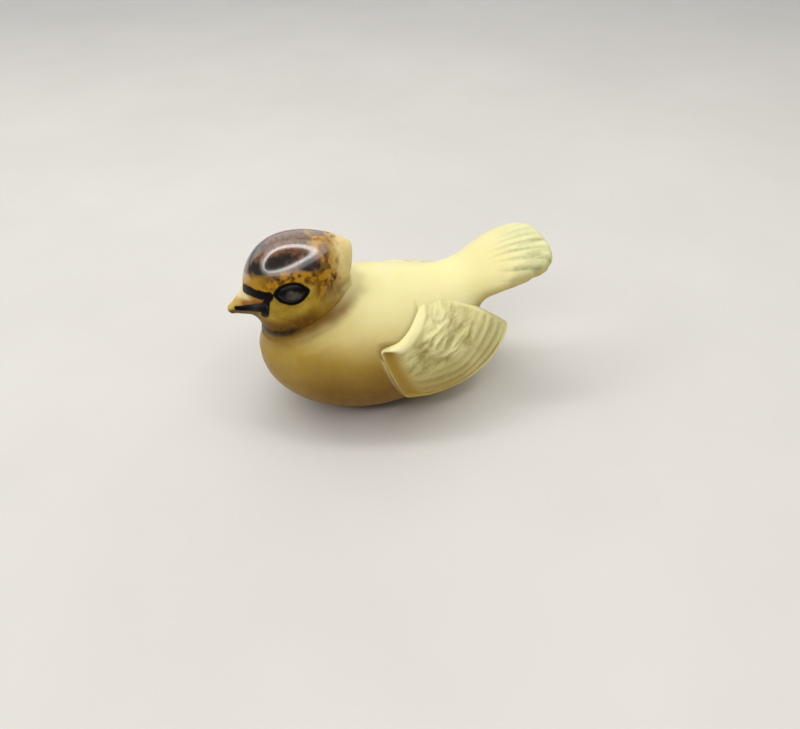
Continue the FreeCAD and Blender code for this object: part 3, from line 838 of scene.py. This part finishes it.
def head_material():
    """Stains and ink on the resin, under lacquer that is thick on the cap and thin elsewhere."""
    g = Graph("lacquered_stain")
    base = g.over(CHEEK, CHEEK_PALE, g.span(g.noise(2.4), 0.40, 0.72, 0.0, 0.8))
    base = g.over(base, CREST, g.broken("crest", 1.6, floor=0.75))
    base = g.over(base, LEMON, g.mask("lemon", 0.9))
    base = g.over(base, HORN, g.broken("bill", 1.0, floor=0.8))
    base = g.over(base, CREAM, g.mask("bill_top", 0.8))
    base = g.over(base, BRICK, g.broken("brick", 0.7, floor=0.6))
    base = g.over(base, BROWN, g.mask("jaw", 0.8))
    base = g.over(base, AMBER, g.broken("brow", 0.9, floor=0.5))
    base = g.over(base, BROWN, g.broken("speckle", 0.6, 0.3, 0.6, 0.45))
    base = g.over(base, NAPE, g.broken("nape", 0.7, floor=0.75))
    cap = g.over(TORTOISE, RUST, g.broken("rust", 0.6, 0.35, 0.62, 0.25))
    base = g.over(base, cap, g.broken("cap", 0.7, 0.25, 0.45, 0.85))
    base = g.over(base, AMBER_GLAZE_AND_SHADE, g.mask("halo", 0.9))
    base = g.over(base, BROWN, g.broken("chin", 1.0, 0.35, 0.75, 0.2))
    base = g.over(base, SEPIA, g.broken("under", 0.8, floor=0.8))
    base = g.over(base, INK, g.mask("ink"))
    resin(g, 0.05, 0.5)
    g.bump(g.noise(0.7, 3.0), 0.006)
    lacquer = g.span(g.mask("gloss"), 0.0, 1.0, 0.02, 1.0)
    return g.finish(base, Roughness=0.40, Specular_IOR_Level=0.06, Coat_Weight=lacquer,
                    Coat_Roughness=0.15, Coat_IOR=1.9)


def wing_material():
    """The same resin, with an olive wash left in the carving, painted shade low on the wing and in
    the cove, and a painted highlight along the ridge.
    """
    g = Graph("washed_resin")
    base = g.over(LEMON, CREAM, g.span(g.noise(3.0), 0.4, 0.8, 0.0, 0.5))
    # Painted shade, darker towards the bottom of the wing.
    base = g.over(base, GOLD_SHADE, g.mask("low", 0.85))
    base = g.over(base, OLIVE, g.broken("wash", 0.45, floor=0.7))
    # Painted shade in the cove under the wing's front edge.
    base = g.over(base, GOLD_SHADE, g.mask("cove"))
    base = g.over(base, AMBER_GLAZE_AND_SHADE, g.mask("cove", 0.35))
    # Painted highlight along the ridge.
    base = g.over(base, CREAM, g.mask("pale", 0.55))
    resin(g, 0.22, 0.9)
    rough = g.span(g.noise(0.8), 0.3, 0.7, 0.34, 0.50)
    g.bump(g.noise(0.30, 4.0), 0.018)
    return g.finish(base, Roughness=rough, Specular_IOR_Level=0.2, Coat_Weight=0.12,
                    Coat_Roughness=0.22)


def eye_material():
    """Black bead with a painted reflection: a dull grey patch in its middle."""
    g = Graph("black_glass_eye")
    # Painted reflection: grey in the middle of the bead.
    grey_reflection = g.over(EYE_DARK, REFLECTION_GREY, g.span(g.noise(1.2), 0.38, 0.62))
    base = g.over(INK, grey_reflection, g.mask("grey_reflection"))
    return g.finish(base, Roughness=0.35, Specular_IOR_Level=0.15, Coat_Weight=0.12,
                    Coat_Roughness=0.20)


def metal_material(name, bright, dull, size_mm, stretch, roughness):
    """Drawn or turned metal with fine marks along one way."""
    g = Graph(name)
    marks = g.noise(size_mm, 4.0, 0.7, stretch)
    base = g.over(bright, dull, g.span(marks, 0.35, 0.75))
    g.bump(marks, 0.006)
    rough = g.span(marks, 0.3, 0.7, roughness - 0.06, roughness + 0.08)
    return g.finish(base, Metallic=1.0, Roughness=rough)


def cover_hardware():
    """Procedural metal on the CAD parts that stay as they are."""
    brass = metal_material("turned_brass", *BRASS, 0.3, (1, 1, 6), 0.30)
    steel = metal_material("drawn_steel", *STEEL, 0.25, (0.2, 3, 3), 0.34)
    for name, material in (("neck_dowel", brass), ("threaded_insert", brass),
                           ("wing_pins_left", steel), ("wing_pins_right", steel)):
        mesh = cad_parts[name].data
        mesh.materials.clear()
        mesh.materials.append(material)


# ---------------------------------------------------------------- pieces

TRUNK_ROOM = ((-13.4, -17.0, -0.8), (13.4, 29.4, 23.2))
HEAD_ROOM = ((-7.6, -20.6, 13.2), (7.6, 0.6, 29.2))
WING_ROOM = ((1.4, -1.0, 2.4), (14.6, 21.8, 19.4))
EYE_ROOM = ((3.8, -13.0, 21.2), (7.6, -7.8, 24.8))


def build_bird():
    """Sculpt every visible piece; a room is the box that a piece's field is sampled in."""
    points, quads = polygonise(trunk_carved, *TRUNK_ROOM, TRUNK_CELL)
    make_piece("trunk_sculpt", points, quads, trunk_masks(points), trunk_material(), "body")
    points, quads = polygonise(head_carved, *HEAD_ROOM, CARVED_CELL)
    make_piece("head_sculpt", points, quads, head_masks(points), head_material(), "head")
    points, quads = polygonise(wing, *WING_ROOM, CARVED_CELL)
    make_pair("wing_sculpt", points, quads, wing_masks(points), wing_material(), "wing")
    points, quads = polygonise(eye, *EYE_ROOM, EYE_CELL)
    make_pair("eye_bead", points, quads, eye_masks(points), eye_material(), "eye")


# ---------------------------------------------------------------- studio

CAMERA_PLACE = Vector((91.34, -11.64, 76.6))
CAMERA_RIGHT = Vector((0.2167, 0.9752, -0.0458))
CAMERA_DOWN = Vector((0.6030, -0.1706, -0.7793))
CAMERA_LENS = 32.72
RING_CENTRE = (70.0, -170.0, 300.0)
RING_HALF = (165.0, 290.0)
RING_SIDES = 64
RINGS = (("ring_lamp", 2.0, 50.0, 6.8), ("ring_halo", 82.0, 110.0, 1.6))
RING_TINT = (1.0, 0.985, 0.96, 1.0)
WALL_STRENGTH = 1.1
WALL_TINT = (0.96, 0.98, 1.0, 1.0)
ROOM_STRENGTH = 0.12
ROOM_TINT = (0.95, 0.96, 1.0, 1.0)
FLOOR_HALF = 4.0


def add_camera():
    """The camera, with its place in millimetres and its right and down directions."""
    data = bpy.data.cameras.new("camera")
    data.sensor_width = 36.0
    data.lens = CAMERA_LENS
    data.clip_start = 0.005
    data.clip_end = 20.0
    right = CAMERA_RIGHT.normalized()
    back = right.cross(-CAMERA_DOWN.normalized())
    turn = Matrix((right, back.cross(right), back)).transposed()
    camera = placed("camera", data)
    camera.matrix_world = Matrix.Translation(CAMERA_PLACE * MM) @ turn.to_4x4()
    bpy.context.scene.camera = camera


def glow_material(name, strength, tint):
    """A surface that only shines."""
    material = bpy.data.materials.new(name)
    material.use_nodes = True
    nodes = material.node_tree.nodes
    nodes.clear()
    output = nodes.new("ShaderNodeOutputMaterial")
    light = nodes.new("ShaderNodeEmission")
    light.inputs["Color"].default_value = tint
    light.inputs["Strength"].default_value = strength
    material.node_tree.links.new(light.outputs[0], output.inputs[0])
    return material


def add_glow(name, verts, faces, strength, tint):
    """A lamp made of a shining surface that the camera itself doesn't see."""
    mesh = bpy.data.meshes.new(name)
    mesh.from_pydata(verts, [], faces)
    mesh.materials.append(glow_material(name + "_glow", strength, tint))
    lamp = placed(name, mesh)
    lamp.visible_camera = False


def add_ring(name, grow, width, strength):
    """A long oval ring lamp overhead: it gives the closed bright line on the crown."""
    verts, faces = [], []
    for k in range(RING_SIDES):
        angle = 2.0 * np.pi * k / RING_SIDES
        for step in (grow - width / 2, grow + width / 2):
            x = RING_CENTRE[0] + (RING_HALF[0] + step) * np.cos(angle)
            y = RING_CENTRE[1] + (RING_HALF[1] + step) * np.sin(angle)
            verts.append((x * MM, y * MM, RING_CENTRE[2] * MM))
        a, b = 2 * k, 2 * ((k + 1) % RING_SIDES)
        faces.append((a, a + 1, b + 1, b))
    add_glow(name, verts, faces, strength, RING_TINT)


def add_back_wall():
    """A wide pale wall behind the bird, for the soft light along its far side."""
    x, near, far, foot, top = -0.60, -0.70, 0.90, 0.05, 0.75
    verts = [(x, near, foot), (x, far, foot), (x, far, top), (x, near, top)]
    add_glow("back_wall", verts, [(0, 1, 2, 3)], WALL_STRENGTH, WALL_TINT)


def add_floor():
    """A plain pale floor with the faintest unevenness of tone."""
    g = Graph("pale_floor")
    tone = g.over(FLOOR_PALE, FLOOR_SHADE, g.span(g.noise(60.0), 0.3, 0.7))
    side = FLOOR_HALF
    mesh = bpy.data.meshes.new("floor")
    mesh.from_pydata([(-side, -side, 0), (side, -side, 0), (side, side, 0), (-side, side, 0)], [],
                     [(0, 1, 2, 3)])
    mesh.materials.append(g.finish(tone, Roughness=0.7))
    placed("floor", mesh)


def add_studio():
    """Floor, lamps and the room's faint even light."""
    add_floor()
    for name, grow, width, strength in RINGS:
        add_ring(name, grow, width, strength)
    add_back_wall()
    world = bpy.data.worlds.new("soft_room")
    world.use_nodes = True
    room = world.node_tree.nodes["Background"]
    room.inputs["Color"].default_value = ROOM_TINT
    room.inputs["Strength"].default_value = ROOM_STRENGTH
    bpy.context.scene.world = world
    bpy.context.scene.view_settings.view_transform = "Standard"


build_bird()
cover_hardware()
add_camera()
add_studio()
